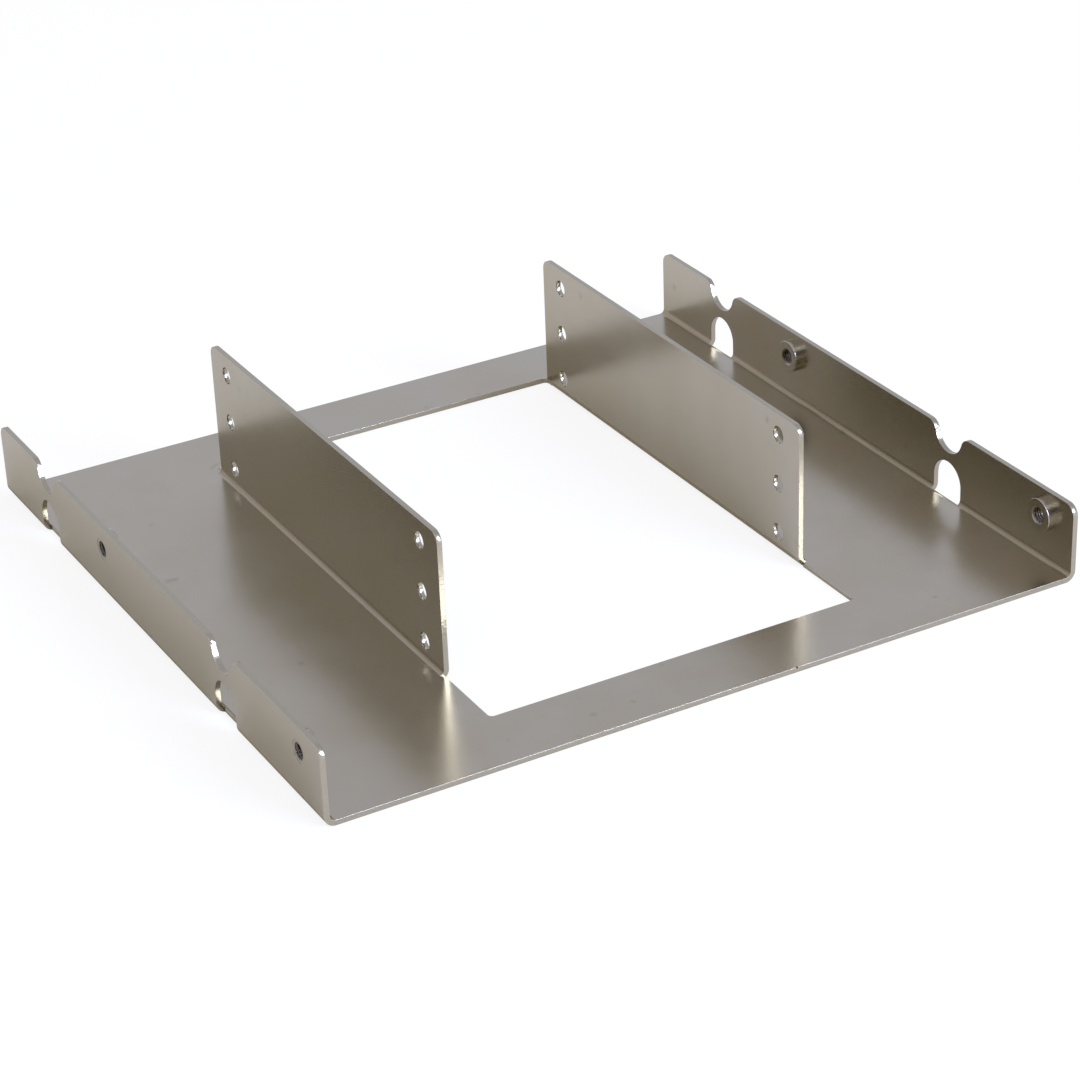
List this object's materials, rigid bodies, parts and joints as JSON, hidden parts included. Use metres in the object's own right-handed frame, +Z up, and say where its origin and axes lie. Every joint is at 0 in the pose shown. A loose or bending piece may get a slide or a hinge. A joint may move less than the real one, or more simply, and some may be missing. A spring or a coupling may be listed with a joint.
{
  "type": "drive bay adapter bracket",
  "caption": "Folded sheet-steel tray that carries small drives between two upright walls and screws into a wide drive bay through its low side flanges.",
  "frame": {"origin": "middle of the base's underside", "axes": "+X runs across the bay to the right, +Y along the drives towards the back, +Z up from the base"},
  "size_m": [0.146, 0.1356, 0.0277],
  "materials": {
    "plated_sheet": "semi-gloss plated steel sheet with a faint rolled texture",
    "plated_nuts": "bright plated turned steel"
  },
  "bodies": {
    "root": {"bracket_sheet": "plated_sheet", "clinch_nuts": "plated_nuts"}
  },
  "joints": []
}
